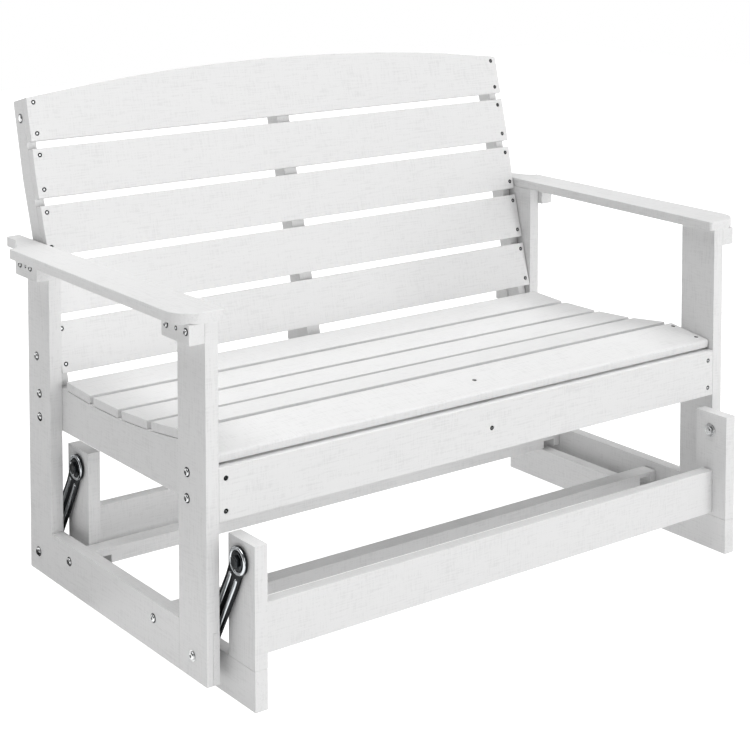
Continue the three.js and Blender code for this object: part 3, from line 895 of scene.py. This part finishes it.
lightLook = {
    "room": 0.29,  # soft light from all round
    "metalRoom": 0.2,  # the room as polished metal sees it
    # two soft lights: power, where it comes from, how wide it is in degrees
    "front": (1.7, (0.3, -1.0, 0.08), 40.0),
    "top": (2.6, (0.0, 0.08, 1.0), 60.0),
    # bright and black cards that only show in polished metal:
    # width and depth, place, turn about X in degrees, glow
    "cards": (((1.34, 1.0), (-1.33, -0.4, 0.004), 0, 1.8),
              ((4.0, 1.6), (-1.5, 3.0, 0.8), 90, 1.8),
              ((5.0, 2.4), (1.0, -3.4, 1.2), 90, 1.8),
              ((1.1, 1.9), (-0.6, 1.06, 0.006), 0, 0.02),
              ((1.4, 1.0), (0.1, -1.4, 0.006), 0, 0.02)),
}


def reflectorCards():
    # cards that only polished metal sees
    for number, (size, place, turn, glow) in enumerate(lightLook["cards"], start=1):
        paint, _, shader = newMaterial(f"reflector_card_{number}", Roughness=1.0,
                                       Specular_IOR_Level=0.0)
        shader.inputs["Base Color"].default_value = grey(0.0)
        shader.inputs["Emission Color"].default_value = grey(1.0)
        shader.inputs["Emission Strength"].default_value = glow
        card = stagePlane(f"card_{number}", size, place, turn, paint)
        card.visible_camera = card.visible_diffuse = card.visible_shadow = False
        card.visible_transmission = card.visible_volume_scatter = False


def studioLight():
    # the room looks white to the camera, darker to metal, and lights everything softly
    world = bpy.data.worlds.new("studio")
    bpy.context.scene.world = world
    world.use_nodes = True
    tree = world.node_tree
    rays = addNode(tree, "ShaderNodeLightPath")
    room = addNode(tree, "ShaderNodeMixRGB", Fac=rays.outputs["Is Glossy Ray"],
                   Color1=grey(lightLook["room"]), Color2=grey(lightLook["metalRoom"])).outputs[0]
    shown = addNode(tree, "ShaderNodeMixRGB", Fac=rays.outputs["Is Camera Ray"],
                    Color1=room, Color2=grey(1.0)).outputs[0]
    tree.links.new(shown, tree.nodes["Background"].inputs["Color"])
    for name in ("front", "top"):
        power, source, angle = lightLook[name]
        sun = bpy.data.lights.new(name, "SUN")
        sun.energy = power
        sun.angle = math.radians(angle)
        lamp = bpy.data.objects.new(name, sun)
        lamp.rotation_euler = Vector(source).to_track_quat("Z", "Y").to_euler()
        bpy.context.collection.objects.link(lamp)


reflectorCards()
studioLight()
bpy.context.scene.view_settings.view_transform = "Standard"  # keeps the white plastic white

cameraLook = {
    "place": (-2.1423, -2.8298, 1.4048),
    "turnDeg": -36.9,
    "pitchDeg": -3.8,
    "lensMm": 86.8,
    "sensorMm": 36,
    "shiftY": -0.535,  # the photograph keeps upright edges upright
}
cameraData = bpy.data.cameras.new("camera")
cameraData.lens = cameraLook["lensMm"]
cameraData.sensor_width = cameraLook["sensorMm"]
cameraData.shift_y = cameraLook["shiftY"]
camera = bpy.data.objects.new("camera", cameraData)
camera.location = cameraLook["place"]
camera.rotation_euler = (math.radians(90 + cameraLook["pitchDeg"]), 0,
                         math.radians(cameraLook["turnDeg"]))
bpy.context.collection.objects.link(camera)
bpy.context.scene.camera = camera
print("studio set")
